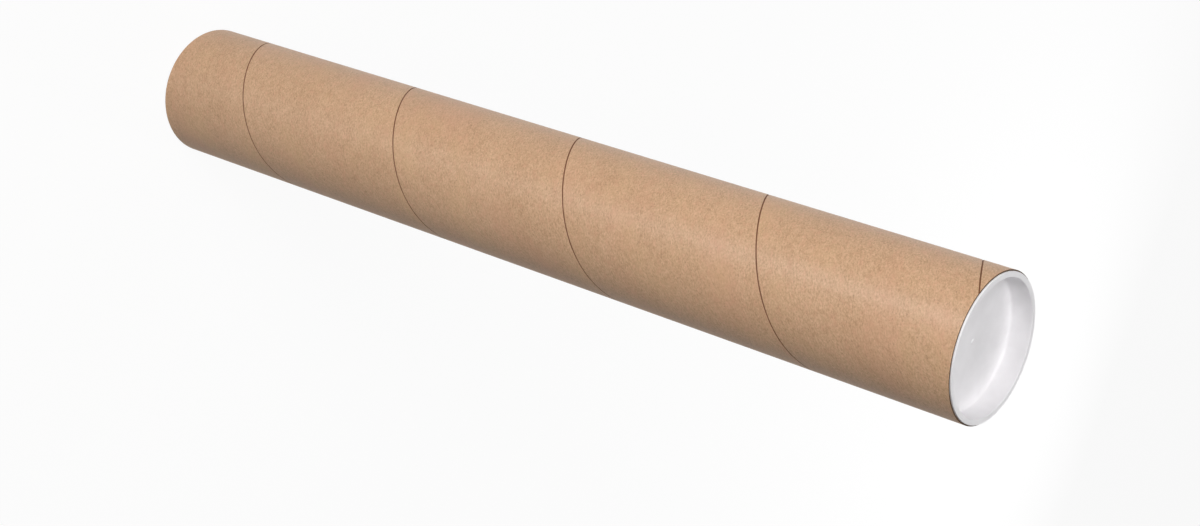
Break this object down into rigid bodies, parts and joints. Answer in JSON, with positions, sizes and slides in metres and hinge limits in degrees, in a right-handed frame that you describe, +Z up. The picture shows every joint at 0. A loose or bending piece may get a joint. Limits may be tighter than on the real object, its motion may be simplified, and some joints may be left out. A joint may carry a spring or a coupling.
{
  "type": "cardboard mailing tube",
  "caption": "Spirally wound kraft cardboard mailing tube, standing on its end, with a white plastic push-in cap closing each end.",
  "frame": {"origin": "centre of the bottom cap's flange, on the plane that the tube stands on", "axes": "+Z up the tube's axis, from the bottom cap to the top cap; X and Y are free, and set so that the picture is taken from the -Y side"},
  "size_m": [0.1056, 0.1056, 0.765],
  "materials": {
    "kraft_board": "natural brown kraft paper, matt, with fine fibre flecks",
    "cap_plastic": "white moulded polyethylene, satin"
  },
  "bodies": {
    "bottom_cap": {"bottom_cap": "cap_plastic"},
    "tube": {"tube": "kraft_board"},
    "top_cap": {"top_cap": "cap_plastic"}
  },
  "joints": [
    {"name": "top_cap_pull", "type": "slide", "parent": "tube", "child": "top_cap", "axis": [0, 0, 1], "range_m": [0, 0.05]},
    {"name": "bottom_cap_pull", "type": "slide", "parent": "bottom_cap", "child": "tube", "axis": [0, 0, 1], "range_m": [0, 0.05]}
  ]
}
